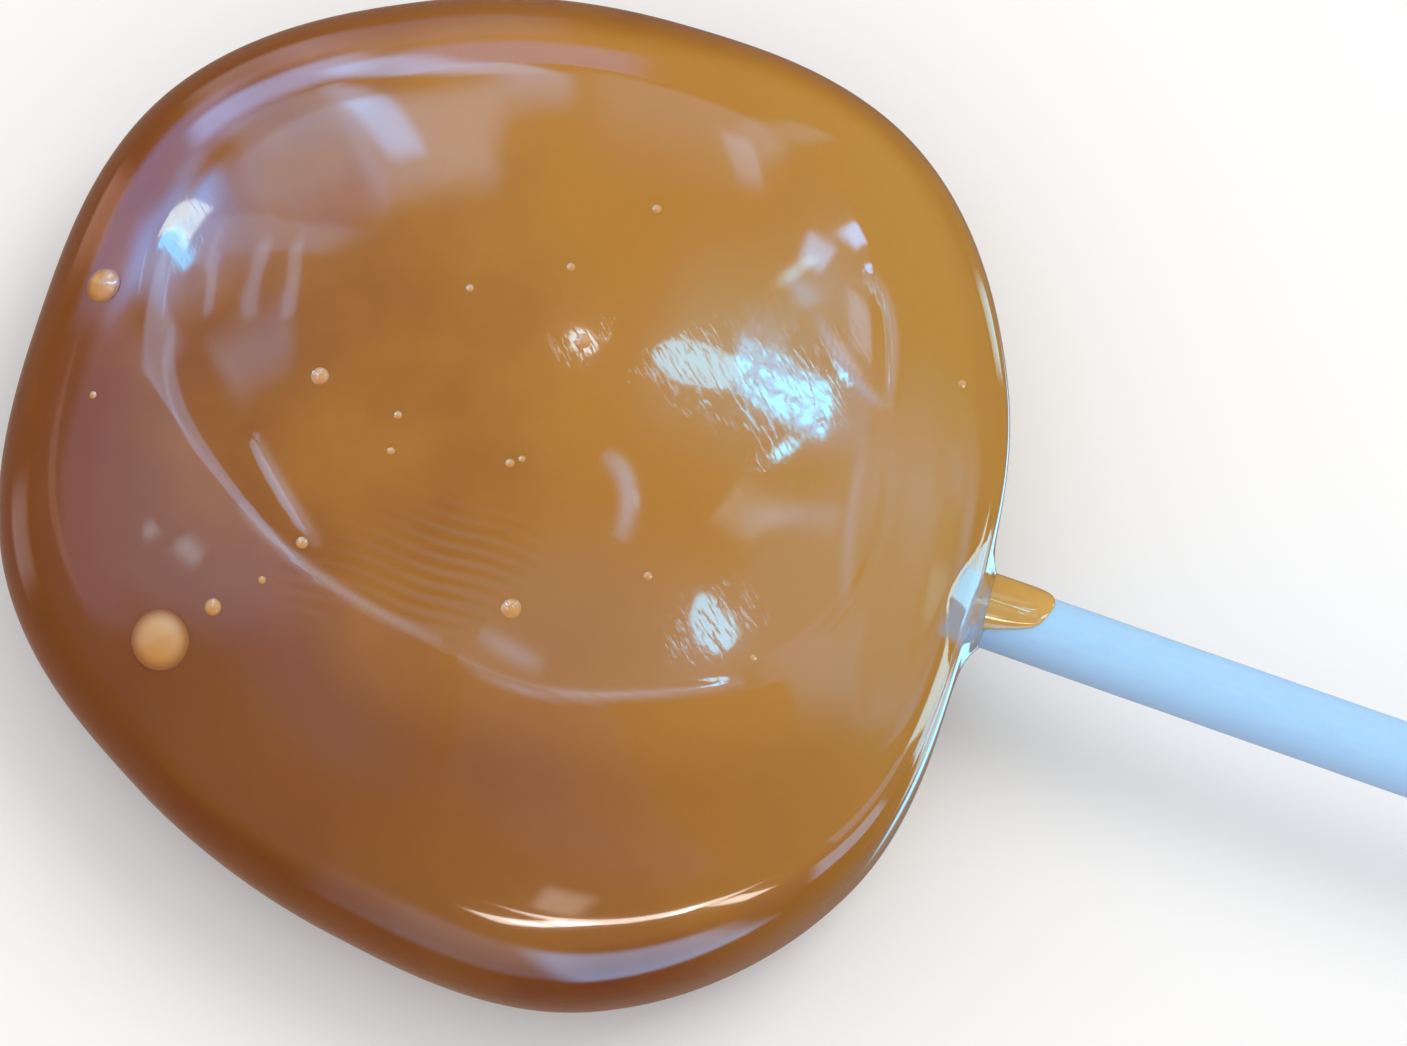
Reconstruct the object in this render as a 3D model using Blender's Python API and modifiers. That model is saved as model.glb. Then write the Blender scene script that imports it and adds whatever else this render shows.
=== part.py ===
"""A caramel lollipop: a thick, uneven disc of glossy caramel on a rolled paper stick.

It lies on its flat back, and the head holds the stick level above the table. Metres, +Z up. The origin
is on the table under the stick's line and the middle of the head. +X runs along the stick to its free
end, +Y crosses it, and +Z is the shown side. Angles round the head start at the stick and turn to +Y.
"""

from math import acos, atan2, cos, exp, floor, pi, radians, remainder, sin, sqrt, tau

import bmesh
import bpy
from mathutils import Vector

MM = 0.001
TOUCH_GAP = 0.3 * MM  # left between two pieces that touch on the real lollipop
SHARP_ANGLE = radians(40)  # edges sharper than this are shaded as edges

# Head, seen from the shown side: how far the rim is from the middle, every 30 degrees
HEAD_MIDDLE = Vector((0.4, -1.9)) * MM
RIM_REACH = [r * MM for r in (23.9, 25.1, 26.7, 25.3, 25.4, 26.4, 24.5, 24.6, 22.9, 23.3, 26.0, 26.1)]

# Heights above the table
THICKNESS = 13.0 * MM
RIM_HEIGHT = 5.0 * MM
STICK_HEIGHT = 6.5 * MM

# Face: a shallow dome, its edge nearer to one side of the head, measured from the same middle
FACE_REACH = [r * MM for r in (18.4, 18.8, 21.2, 20.2, 19.6, 20.4, 17.7, 12.5, 10.2, 10.0, 11.7, 15.7)]
DOME_REACH = 25.0 * MM
DOME_DROP = 2.0 * MM

# Shoulder, from the edge of the face down to the rim: shares of its width and of its drop, and its first
# slope beyond that of the dome
SHOULDER_FLAT = 0.45
SHOULDER_SLOPE = 0.16
SHOULDER_ROUND = 0.12
SHOULDER_KNEES = (0.75, 0.40)
# Towards the stick the same shoulder turns down in a sharp corner
CORNER_SPREAD = radians(50)
CORNER_FLAT = 1.0
CORNER_SLOPE = 0.02
CORNER_KNEES = (1.0, 0.95)
# Beside the stick a ramp cuts the corner off
RAMP_MIDDLE = radians(2)
RAMP_SPREAD = radians(7)
RAMP_WIDTH = 1.4 * MM
RAMP_SLOPE = 0.6

# Back: rolls under from the rim to the flat spot that the head was set down on
BACK_DROP = 0.3
BACK_KNEE = 3.0 * MM
BACK_MARGIN = 5.5 * MM

# Rings of the skin, as shares of the way from the middle of the face to the middle of the back
FACE_SHARE, RIM_SHARE, BACK_SHARE = 0.30, 0.72, 0.92
SKIN_SEGMENTS, SKIN_RINGS = 80, 44

# Blisters raised by air under the skin: place, radius
BLISTERS = [
    (Vector((-11.4, -15.6)) * MM, 1.35 * MM),
    (Vector((-20.4, -0.4)) * MM, 0.9 * MM),
    (Vector((-9.5, -13.4)) * MM, 0.6 * MM),
    (Vector((3.9, -9.0)) * MM, 0.6 * MM),
]
BLISTER_HEIGHT_SHARE = 0.45
HALVINGS = 30  # enough to find the skin's height under a blister to a millionth of a millimetre

# Socket in the head: cut in from well outside the wall
SOCKET_OVERSHOOT = 2.0 * MM

# Stick: rolled paper, part of it inside the head
STICK_RADIUS = 1.75 * MM
STICK_LENGTH = 90.0 * MM
STICK_START = 2.0 * MM
STICK_END_BEVEL = 0.15 * MM
STICK_SIDES = 32

# Run of caramel on the stick, beside the head. Its edges are angles round the stick from the top to +Y
RUN_START = 24.7 * MM
RUN_LENGTH = 3.05 * MM
RUN_THICKNESS = 0.3 * MM
RUN_EDGE_THICKNESS = 0.08 * MM
RUN_LOW_EDGE = radians(-48)
RUN_HIGH_EDGE = radians(85)
RUN_LOW_CREEP = radians(42)
RUN_TIP_TURN = radians(45)
RUN_TIP_POWERS = (14, 10)  # the higher, the blunter the low and the high corner of its tip
RUN_SEGMENTS, RUN_RINGS = 24, 16


def clear_scene():
    for thing in list(bpy.data.objects):
        bpy.data.objects.remove(thing, do_unlink=True)


def collection(name):
    made = bpy.data.collections.new(name)
    bpy.context.scene.collection.children.link(made)
    return made


def principled(name, color, roughness, subsurface=0.0, coat=0.0):
    material = bpy.data.materials.new(name)
    material.use_nodes = True
    shader = material.node_tree.nodes["Principled BSDF"]
    shader.inputs["Base Color"].default_value = (*color, 1.0)
    shader.inputs["Roughness"].default_value = roughness
    shader.inputs["Metallic"].default_value = 0.0
    shader.inputs["Subsurface Weight"].default_value = subsurface
    shader.inputs["Coat Weight"].default_value = coat
    return material


def object_from(bm, name, group):
    """The bmesh as a named object in a collection, its faces pointing outwards."""
    bmesh.ops.recalc_face_normals(bm, faces=bm.faces)
    mesh = bpy.data.meshes.new(name)
    bm.to_mesh(mesh)
    bm.free()
    thing = bpy.data.objects.new(name, mesh)
    group.objects.link(thing)
    return thing


def add_cut(thing, tool, operation):
    cut = thing.modifiers.new(tool.name, "BOOLEAN")
    cut.operation = operation
    cut.object = tool
    cut.solver = "EXACT"
    tool.display_type = "WIRE"
    tool.hide_render = True


def ring_curve(values, angle):
    """Smooth closed curve through values spaced evenly round a circle."""
    place = angle / tau * len(values)
    first = floor(place)
    part = place - first
    a, b, c, d = (values[(first + step) % len(values)] for step in (-1, 0, 1, 2))
    bend = 2 * a - 5 * b + 4 * c - d + part * (3 * (b - c) + d - a)
    return b + 0.5 * part * (c - a + part * bend)


def bezier(points, share):
    """Point on a Bezier curve of any degree."""
    while len(points) > 1:
        points = [a.lerp(b, share) for a, b in zip(points, points[1:])]
    return points[0]


def arc_share(angle, middle, spread):
    """1 at an angle round the head, falling to 0 on both sides of it."""
    return exp(-((remainder(angle - middle, tau) / spread) ** 2))


def blend(plain, other, share):
    return plain + (other - plain) * share


def dome(reach):
    """Height of the face, which falls away from its middle."""
    return THICKNESS - DOME_DROP * (reach / DOME_REACH) ** 2


def shoulder_point(angle, share):
    """Distance from the middle and height: share 0 is the edge of the face, 1 is the rim."""
    inner, outer = ring_curve(FACE_REACH, angle), ring_curve(RIM_REACH, angle)
    corner = arc_share(angle, 0.0, CORNER_SPREAD)
    width, drop = outer - inner, dome(inner) - RIM_HEIGHT
    ahead = blend(SHOULDER_FLAT, CORNER_FLAT, corner) * width
    slope = 2 * DOME_DROP * inner / DOME_REACH**2 + blend(SHOULDER_SLOPE, CORNER_SLOPE, corner)
    knees = [RIM_HEIGHT + blend(*knee, corner) * drop for knee in zip(SHOULDER_KNEES, CORNER_KNEES)]
    curve = [
        Vector((inner, dome(inner))),
        Vector((inner + ahead, dome(inner) - slope * ahead)),
        Vector((outer - SHOULDER_ROUND * width * (1 - corner), knees[0])),
        Vector((outer, knees[1])),
        Vector((outer, RIM_HEIGHT)),
    ]
    reach, height = bezier(curve, share)
    ramp = RAMP_WIDTH * arc_share(angle, RAMP_MIDDLE, RAMP_SPREAD)
    past = max(0.0, reach - (outer - ramp))
    return Vector((reach, height - RAMP_SLOPE * past * (height - RIM_HEIGHT) / drop))


def back_profile(angle):
    outer = ring_curve(RIM_REACH, angle)
    return [
        Vector((outer, RIM_HEIGHT)),
        Vector((outer, BACK_DROP * RIM_HEIGHT)),
        Vector((outer - BACK_KNEE, 0.0)),
        Vector((outer - BACK_MARGIN, 0.0)),
    ]


def skin_point(angle, share):
    """Distance from the middle and height: share 0 is the middle of the face, 1 that of the back."""
    if share < FACE_SHARE:
        reach = ring_curve(FACE_REACH, angle) * share / FACE_SHARE
        return Vector((reach, dome(reach)))
    if share < RIM_SHARE:
        return shoulder_point(angle, (share - FACE_SHARE) / (RIM_SHARE - FACE_SHARE))
    if share < BACK_SHARE:
        return bezier(back_profile(angle), (share - RIM_SHARE) / (BACK_SHARE - RIM_SHARE))
    flat_reach = back_profile(angle)[-1].x
    return Vector((flat_reach * (1 - share) / (1 - BACK_SHARE), 0.0))


def skin_height(place):
    """Height of the upper skin over a place, by halving the share that it lies in."""
    offset = place - HEAD_MIDDLE
    angle = atan2(offset.y, offset.x)
    low, high = 0.0, RIM_SHARE
    for _ in range(HALVINGS):
        middle = (low + high) / 2
        if skin_point(angle, middle).x < offset.length:
            low = middle
        else:
            high = middle
    return skin_point(angle, low).y


def make_head(group):
    bm = bmesh.new()
    bmesh.ops.create_uvsphere(bm, u_segments=SKIN_SEGMENTS, v_segments=SKIN_RINGS, radius=1.0)
    for vert in bm.verts:
        angle = atan2(vert.co.y, vert.co.x)
        reach, height = skin_point(angle, acos(max(-1.0, min(1.0, vert.co.z))) / pi)
        vert.co = (HEAD_MIDDLE.x + reach * cos(angle), HEAD_MIDDLE.y + reach * sin(angle), height)
    head = object_from(bm, "caramel_head", group)
    head.data.materials.append(principled("caramel", (0.47, 0.20, 0.045), 0.12, 0.3, 0.5))
    return head


def make_blisters(group):
    """Low domes half sunk in the skin, joined to the head by a union."""
    bm = bmesh.new()
    for place, radius in BLISTERS:
        made = bmesh.ops.create_icosphere(bm, subdivisions=2, radius=radius)["verts"]
        bmesh.ops.scale(bm, verts=made, vec=(1.0, 1.0, BLISTER_HEIGHT_SHARE))
        bmesh.ops.translate(bm, verts=made, vec=(*place, skin_height(place)))
    return object_from(bm, "blisters", group)


def make_socket(group):
    """Blind hole in the head for the stick, open at the wall."""
    radius = STICK_RADIUS + TOUCH_GAP
    start = STICK_START - TOUCH_GAP
    end = HEAD_MIDDLE.x + max(RIM_REACH) + SOCKET_OVERSHOOT
    bpy.ops.mesh.primitive_cylinder_add(
        vertices=STICK_SIDES,
        radius=radius,
        depth=end - start,
        location=((start + end) / 2, 0.0, STICK_HEIGHT),
        rotation=(0.0, pi / 2, 0.0),
    )
    return adopt("socket", group)


def adopt(name, group):
    """The object that an operator has just made, renamed and moved to a collection."""
    thing = bpy.context.object
    thing.name = thing.data.name = name
    for old in list(thing.users_collection):
        old.objects.unlink(thing)
    group.objects.link(thing)
    return thing


def make_stick(group):
    bpy.ops.mesh.primitive_cylinder_add(
        vertices=STICK_SIDES,
        radius=STICK_RADIUS,
        depth=STICK_LENGTH,
        location=(STICK_START + STICK_LENGTH / 2, 0.0, STICK_HEIGHT),
        rotation=(0.0, pi / 2, 0.0),
    )
    stick = adopt("stick", group)
    bevel = stick.modifiers.new("end edges", "BEVEL")
    bevel.width = STICK_END_BEVEL
    bevel.segments = 2
    bevel.limit_method = "ANGLE"
    bevel.angle_limit = SHARP_ANGLE
    stick.data.materials.append(principled("paper", (0.42, 0.66, 0.90), 0.55))
    return stick


def run_edges(part):
    """Angles of both edges at a share of the run's length: they meet in a rounded tip."""
    low_turn, high_turn = (RUN_TIP_TURN * part**power for power in RUN_TIP_POWERS)
    return RUN_LOW_EDGE + RUN_LOW_CREEP * part + low_turn, RUN_HIGH_EDGE - high_turn


def make_run(group):
    """A lens of caramel wrapped on the stick: cut off straight at the head, rounded at its tip."""
    inner = STICK_RADIUS + TOUCH_GAP
    bm = bmesh.new()
    bmesh.ops.create_uvsphere(bm, u_segments=RUN_SEGMENTS, v_segments=RUN_RINGS, radius=1.0)
    for vert in bm.verts:
        part = (1 - vert.co.z) / 2
        across = vert.co.xy.normalized() if abs(vert.co.z) < 1 else Vector((0.0, 0.0))
        low, high = run_edges(part)
        turn = (low + high) / 2 + (high - low) / 2 * across.x
        lift = RUN_EDGE_THICKNESS + RUN_THICKNESS * across.y * sqrt(1 - part)
        radius = inner + (lift if across.y > 0 else 0.0)
        vert.co = (
            RUN_START + RUN_LENGTH * part,
            radius * sin(turn),
            STICK_HEIGHT + radius * cos(turn),
        )
    run = object_from(bm, "stick_drip", group)
    run.data.materials.append(principled("caramel run", (0.55, 0.25, 0.06), 0.08, 0.2, 0.5))
    return run


def shade_smooth(thing):
    thing.data.shade_smooth()
    thing.data.set_sharp_from_angle(angle=SHARP_ANGLE)


def main():
    clear_scene()
    parts = collection("caramel_lollipop")
    cutters = collection("cutters")
    head = make_head(parts)
    add_cut(head, make_blisters(cutters), "UNION")
    add_cut(head, make_socket(cutters), "DIFFERENCE")
    for thing in (head, make_stick(parts), make_run(parts)):
        shade_smooth(thing)


main()
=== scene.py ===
# %% [markdown]
# # A caramel lollipop
#
# The real thing is a lump of boiled sugar in a thick coat of caramel, set down to cool, so it is flat below
# and rounded above. The coat is wet-looking, a little translucent, and full of small accidents: a crease
# round the face, blisters, wrinkles, and a run of caramel on the paper stick. A CAD model gives the sizes.
# This lesson makes the skin that the eye sees, in the same place and at the same size.

# %% Load the frame
from math import cos, pi, radians, sin, tau

import bmesh
import bpy
import numpy as np
from mathutils import Matrix, Vector
from mathutils.bvhtree import BVHTree


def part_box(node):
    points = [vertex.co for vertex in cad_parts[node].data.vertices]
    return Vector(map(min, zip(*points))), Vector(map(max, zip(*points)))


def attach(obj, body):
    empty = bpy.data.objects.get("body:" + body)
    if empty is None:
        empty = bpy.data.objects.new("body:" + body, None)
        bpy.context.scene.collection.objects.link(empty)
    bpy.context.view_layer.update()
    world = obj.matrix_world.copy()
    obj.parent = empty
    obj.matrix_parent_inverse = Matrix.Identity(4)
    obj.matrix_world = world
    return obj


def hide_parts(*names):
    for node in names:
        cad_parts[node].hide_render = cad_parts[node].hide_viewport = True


MM = 0.001
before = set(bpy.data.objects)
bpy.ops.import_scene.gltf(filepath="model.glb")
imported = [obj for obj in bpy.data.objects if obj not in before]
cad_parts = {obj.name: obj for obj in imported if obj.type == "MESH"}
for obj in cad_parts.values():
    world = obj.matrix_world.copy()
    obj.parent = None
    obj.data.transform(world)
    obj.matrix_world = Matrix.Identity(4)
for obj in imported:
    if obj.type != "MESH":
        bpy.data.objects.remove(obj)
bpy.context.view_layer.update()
head_low, head_high = (np.array(corner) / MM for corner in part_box("caramel_head"))
stick_low, stick_high = (np.array(corner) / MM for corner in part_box("stick"))
print("CAD nodes:", sorted(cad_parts))
print("head, mm:", np.round(head_high - head_low, 1), "stick, mm:", np.round(stick_high - stick_low, 1))

# %% [markdown]
# ## The camera
#
# The lollipop lies on its back and the camera looks down on it, leaning 15 degrees towards the side where
# the shoulder is widest. Its roll puts the stick on the slope that it has in the photo. The photo's pixels
# are useful later, to find the place on the caramel that a mark belongs to, so the camera's own axes are
# kept as vectors, and a small function turns a pixel into a ray.

# %% Camera
PHOTO = np.array((1407, 1046))
LENS_MM, SENSOR_MM = 100.0, 36.0
VIEW_DISTANCE = 190.0
VIEW_TILT = radians(15)
VIEW_ROLL = radians(19.94)
AIM = np.array((10.36, -0.47, 6.5))
NEAR_CLIP = 10.0
PIXELS_PER_UNIT = LENS_MM / SENSOR_MM * PHOTO[0]

level_up = np.array((-sin(VIEW_ROLL), cos(VIEW_ROLL), 0.0))
view_right = np.array((cos(VIEW_ROLL), sin(VIEW_ROLL), 0.0))
view_up = level_up * cos(VIEW_TILT) + np.array((0, 0, sin(VIEW_TILT)))
view_back = np.array((0, 0, cos(VIEW_TILT))) - level_up * sin(VIEW_TILT)
eye = AIM + view_back * VIEW_DISTANCE


def pixel_ray(pixel):
    """Direction from the eye through a pixel of the photo."""
    right, down = (np.array(pixel) - PHOTO / 2) / PIXELS_PER_UNIT
    way = view_right * right - view_up * down - view_back
    return way / np.linalg.norm(way)


camera = bpy.data.objects.new("camera", bpy.data.cameras.new("camera"))
bpy.context.scene.collection.objects.link(camera)
bpy.context.scene.camera = camera
camera.data.lens, camera.data.sensor_width = LENS_MM, SENSOR_MM
camera.data.clip_start = NEAR_CLIP * MM
turn = Matrix((view_right, view_up, view_back)).transposed()
camera.matrix_world = Matrix.Translation(eye * MM) @ turn.to_4x4()
print("eye, mm:", np.round(eye, 1))

# %% [markdown]
# ## One helper for every skin
#
# The head, the stick and the run of caramel are all closed skins that can be drawn as rings, one after the
# other, with a point at each end. One function lofts such rings into a mesh, so each piece below only has
# to say where its rings go. Sculpting would work too, but a formula can be measured and changed.

# %% Loft helper


def loft(name, rings, first, last):
    """Closed mesh through rings of points in mm, an array of ring, place, xyz, with a fan at each end."""
    count, around = rings.shape[:2]
    points = np.vstack([[first], rings.reshape(-1, 3), [last]]) * MM
    here = np.arange(around)
    after = (here + 1) % around
    faces = [(0, 1 + a, 1 + b) for a, b in zip(here, after)]
    for ring in range(count - 1):
        low, high = 1 + ring * around, 1 + (ring + 1) * around
        faces += zip(low + here, high + here, high + after, low + after)
    end, tip = 1 + (count - 1) * around, 1 + count * around
    faces += [(end + a, tip, end + b) for a, b in zip(here, after)]
    mesh = bpy.data.meshes.new(name)
    mesh.from_pydata(points.tolist(), [], [tuple(int(i) for i in face) for face in faces])
    bm = bmesh.new()
    bm.from_mesh(mesh)
    bmesh.ops.recalc_face_normals(bm, faces=bm.faces)
    bm.to_mesh(mesh)
    bm.free()
    mesh.shade_smooth()
    thing = bpy.data.objects.new(name, mesh)
    bpy.context.scene.collection.objects.link(thing)
    print(name, len(mesh.polygons), "faces")
    return thing


# %% [markdown]
# ## The form of the head
#
# Seen from above the rim is a lopsided round, so its reach is a smooth closed curve through twelve lengths.
# The face is a smaller oval, nearer one side, and a shoulder falls from its edge to the rim.
# These are the sizes that the CAD model was made with. The skin is worked out here from the same few
# numbers, with many more rings, because copying the CAD facets would keep their flat spots in the gloss.

# %% Sizes of the head
HEAD_MIDDLE = np.array((0.4, -1.9))
RIM_REACH = (23.9, 25.1, 26.7, 25.3, 25.4, 26.4, 24.5, 24.6, 22.9, 23.3, 26.0, 26.1)
FACE_REACH = (18.4, 18.8, 21.2, 20.2, 19.6, 20.4, 17.7, 12.5, 10.2, 10.0, 11.7, 15.7)
THICKNESS, RIM_HEIGHT, STICK_HEIGHT = 13.0, 5.0, 6.5
DOME_REACH, DOME_DROP = 25.0, 2.0
# The shoulder in shares of its width and its drop, all round and then at the steeper corner by the stick.
SHOULDER_FLAT, SHOULDER_SLOPE, SHOULDER_ROUND, SHOULDER_KNEES = 0.45, 0.16, 0.12, (0.75, 0.40)
CORNER_SPREAD, CORNER_FLAT, CORNER_SLOPE, CORNER_KNEES = radians(50), 1.0, 0.02, (1.0, 0.95)
RAMP_MIDDLE, RAMP_SPREAD, RAMP_WIDTH, RAMP_SLOPE = radians(2), radians(7), 1.4, 0.6
BACK_DROP, BACK_KNEE, BACK_MARGIN = 0.3, 3.0, 5.5


def ring_curve(values, angle):
    """Smooth closed curve through values spaced evenly round a circle."""
    values = np.array(values)
    place = angle / tau * len(values)
    first = np.floor(place).astype(int)
    part = place - first
    a, b, c, d = (values[(first + step) % len(values)] for step in (-1, 0, 1, 2))
    bend = 2 * a - 5 * b + 4 * c - d + part * (3 * (b - c) + d - a)
    return b + 0.5 * part * (c - a + part * bend)


# %% Profile of the skin


def bezier(points, share):
    """Point on a Bezier curve of any degree, for arrays of points."""
    while len(points) > 1:
        points = [a + (b - a) * share for a, b in zip(points, points[1:])]
    return points[0]


def arc_share(angle, middle, spread, power=2):
    """1 at an angle round the head, falling to 0 on both sides of it."""
    return np.exp(-((np.abs((angle - middle + pi) % tau - pi) / spread) ** power))


def blend(plain, other, share):
    """The plain value at share 0, the other at share 1."""
    return plain + (other - plain) * share


def dome(reach):
    """Height of the face, which falls away from its middle as a very flat bowl upside down."""
    return THICKNESS - DOME_DROP * (reach / DOME_REACH) ** 2


def shoulder(angle, share):
    """Reach and height from the edge of the face, at share 0, down to the rim."""
    inner, outer = ring_curve(FACE_REACH, angle), ring_curve(RIM_REACH, angle)
    corner = arc_share(angle, 0.0, CORNER_SPREAD)
    width, drop = outer - inner, dome(inner) - RIM_HEIGHT
    ahead = blend(SHOULDER_FLAT, CORNER_FLAT, corner) * width
    round_off = SHOULDER_ROUND * width * (1 - corner)
    reach = bezier([inner, inner + ahead, outer - round_off, outer, outer], share)
    slope = 2 * DOME_DROP * inner / DOME_REACH**2 + blend(SHOULDER_SLOPE, CORNER_SLOPE, corner)
    heights = [dome(inner), dome(inner) - slope * ahead]
    heights += [RIM_HEIGHT + blend(*knee, corner) * drop for knee in zip(SHOULDER_KNEES, CORNER_KNEES)]
    height = bezier(heights + [np.full_like(angle, RIM_HEIGHT)], share)
    ramp = RAMP_WIDTH * arc_share(angle, RAMP_MIDDLE, RAMP_SPREAD)
    past = np.maximum(reach - (outer - ramp), 0)
    return reach, height - RAMP_SLOPE * past * (height - RIM_HEIGHT) / drop


def back(angle, share):
    """Reach and height from the rim down to the flat spot."""
    outer = ring_curve(RIM_REACH, angle)
    reach = bezier([outer, outer, outer - BACK_KNEE, outer - BACK_MARGIN], share)
    level = np.ones_like(angle)
    return reach, bezier([level * RIM_HEIGHT, level * BACK_DROP * RIM_HEIGHT, level * 0, level * 0], share)


# %% Rings of the skin
AROUND = 440
FACE_RINGS, SHOULDER_RINGS, BACK_RINGS, FLAT_RINGS = 72, 90, 30, 10
angles = np.arange(AROUND) / AROUND * tau


def skin_rings():
    """Rings from near the middle of the face, over the rim, to near the middle of the back."""
    rings = []
    for part in np.linspace(0, 1, FACE_RINGS + 1)[1:]:
        face_reach = ring_curve(FACE_REACH, angles) * part
        rings.append((face_reach, dome(face_reach)))
    rings += [shoulder(angles, part) for part in np.linspace(0, 1, SHOULDER_RINGS + 1)[1:]]
    rings += [back(angles, part) for part in np.linspace(0, 1, BACK_RINGS + 1)[1:]]
    flat_reach = rings[-1][0]
    rings += [(flat_reach * part, np.zeros(AROUND)) for part in np.linspace(1, 0, FLAT_RINGS + 1)[1:-1]]
    reach, height = (np.array(values) for values in zip(*rings))
    x = HEAD_MIDDLE[0] + reach * np.cos(angles)
    y = HEAD_MIDDLE[1] + reach * np.sin(angles)
    return np.stack([x, y, height], axis=-1)


def outward(rings):
    """Unit normals of the lofted rings, from their neighbours."""
    along = np.gradient(rings, axis=0)
    around = np.roll(rings, -1, axis=1) - np.roll(rings, 1, axis=1)
    normal = np.cross(along, around)
    return normal / np.maximum(np.linalg.norm(normal, axis=-1, keepdims=True), 1e-9)


smooth_rings = skin_rings()
normals = outward(smooth_rings)
print("skin rings:", smooth_rings.shape, "lowest normal on the face:", normals[:FACE_RINGS, :, 2].min())

# %% Smooth skin
head = loft("head_skin", smooth_rings, (*HEAD_MIDDLE, THICKNESS), (*HEAD_MIDDLE, 0.0))


def ray_tree(thing):
    """What a ray needs to find the faces of a mesh."""
    mesh = thing.data
    return BVHTree.FromPolygons([v.co[:] for v in mesh.vertices], [p.vertices[:] for p in mesh.polygons])


def seen_at(tree, pixel):
    """Point in metres and normal of a mesh under a pixel of the photo."""
    point, normal, _, _ = tree.ray_cast(Vector(eye * MM), Vector(pixel_ray(pixel)))
    return point, normal


smooth_tree = ray_tree(head)

# %% [markdown]
# ## Accidents of the skin
#
# Caramel sets from the outside in, so its skin creases where the face meets the shoulder, and wrinkles
# where it slid. Each accident is a height added along the normal, as a smooth bump round a line or a spot.
# Lines are drawn as curves through a few pixels of the photo, each dropped on to the skin by a ray.

# %% Relief helpers
STROKE_POINTS, STROKE_DEGREE = 60, 4


def bump(distance, width):
    """1 at no distance, falling softly to 0 on both sides."""
    return np.exp(-((distance / width) ** 2))


def mark(pixel):
    """Place on the smooth skin in mm under a pixel of the photo."""
    return np.array(seen_at(smooth_tree, pixel)[0]) / MM


def stroke(pixels):
    """Points in mm of a smooth curve near some pixels of the photo, on the skin."""
    knots = np.array([mark(pixel) for pixel in pixels])
    shares = np.linspace(0, 1, len(knots))
    bends = [np.polyfit(shares, values, min(STROKE_DEGREE, len(knots) - 1)) for values in knots.T]
    return np.stack([np.polyval(bend, np.linspace(0, 1, STROKE_POINTS)) for bend in bends], axis=-1)


def stroke_relief(places, pixels, width):
    """1 on a line and 0 away from it, fading towards its ends."""
    distance = np.full(places.shape[:2], np.inf)
    fade = np.zeros(places.shape[:2])
    for share, point in zip(np.linspace(0, 1, STROKE_POINTS), stroke(pixels)):
        gap = np.linalg.norm(places - point, axis=-1)
        closer = gap < distance
        distance = np.where(closer, gap, distance)
        fade = np.where(closer, sin(pi * share) ** 0.5, fade)
    return bump(distance, width) * fade


# %% Relief of the head
CREASE_ROUND, CREASE_WIDE = 0.22, 0.60
WIDE_MIDDLE, WIDE_SPREAD = radians(168), radians(28)
STROKES = {  # pixels of the photo, height and width in mm, and how much pale tint lies along the line as painted reflection
    "scar": (((255, 435), (283, 488), (320, 545)), 0.05, 0.28, 0.45),
    "squiggle": (((603, 452), (628, 490), (618, 540)), 0.035, 0.40, 0.8),
    "leaf left": (((818, 315), (845, 365), (886, 408)), 0.008, 0.22, 0.9),
    "leaf top": (((792, 266), (797, 286), (812, 308)), 0.0, 0.45, 0.5),
    "leaf right": (((866, 268), (892, 320), (890, 408)), 0.05, 0.20, 0.5),
    "low crease": (
        ((455, 655), (505, 683), (560, 693), (620, 696), (690, 690), (745, 684)), 0.035, 0.25, 0.6
    ),
    "low crease patch": (((478, 632), (510, 650), (545, 668)), 0.0, 0.5, 0.4),
    "crease line": (
        ((238, 500), (262, 530), (300, 560), (355, 600), (400, 622), (445, 642)), 0.0, 0.25, 0.5
    ),
    "seam": (((868, 430), (852, 500), (848, 560), (845, 610)), 0.008, 0.27, 0.35),
    "seam side": (((740, 522), (790, 516), (850, 518)), 0.0, 0.7, 0.3),
    "patch": (((142, 532), (150, 530), (158, 524)), 0.0, 0.42, 0.36),
    "patch below": (((178, 538), (188, 550), (202, 562)), 0.0, 0.55, 0.42),
}
WRINKLES_AT, WRINKLES_ALONG, WRINKLES_REACH = (395, 555), (505, 592), 4.0
WRINKLE_HEIGHT, WRINKLE_PITCH, WRINKLE_SWAY = 0.012, 0.68, 0.12

upper = normals[..., 2] > 0
reach = np.hypot(smooth_rings[..., 0] - HEAD_MIDDLE[0], smooth_rings[..., 1] - HEAD_MIDDLE[1])
inset = ring_curve(RIM_REACH, angles) - reach
from_crease = reach - ring_curve(FACE_REACH, angles)
edge_round = CREASE_ROUND + CREASE_WIDE * arc_share(angles, WIDE_MIDDLE, WIDE_SPREAD)
relief = -SHOULDER_SLOPE * (np.hypot(from_crease, edge_round) - np.abs(from_crease)) / 2
# Along the lines a pale tint is painted as reflection; where a line has height it is also a real ridge.
pale = np.zeros_like(relief)
for pixels, height, width, paleness in STROKES.values():
    line = stroke_relief(smooth_rings, pixels, width)
    relief += height * line
    pale = np.maximum(pale, paleness * line)

middle, ahead = mark(WRINKLES_AT)[:2], mark(WRINKLES_ALONG)[:2]
along = (ahead - middle) / np.linalg.norm(ahead - middle)
from_middle = smooth_rings[..., :2] - middle
across = from_middle @ np.array((-along[1], along[0]))
sway = WRINKLE_SWAY * np.sin(from_middle @ along)
wrinkles = np.sin((across + sway) / WRINKLE_PITCH * tau)
wrinkles *= bump(np.linalg.norm(from_middle, axis=-1), WRINKLES_REACH)
relief += WRINKLE_HEIGHT * wrinkles
relief *= upper
print("relief, mm:", relief.min().round(3), "to", relief.max().round(3))

# %% [markdown]
# Where the paper stick comes out, the caramel creeps up it and leaves a hollow collar, as a drink does on
# a straw. That isn't a height along the normal but a pull along the stick, strongest right beside it.

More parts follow.
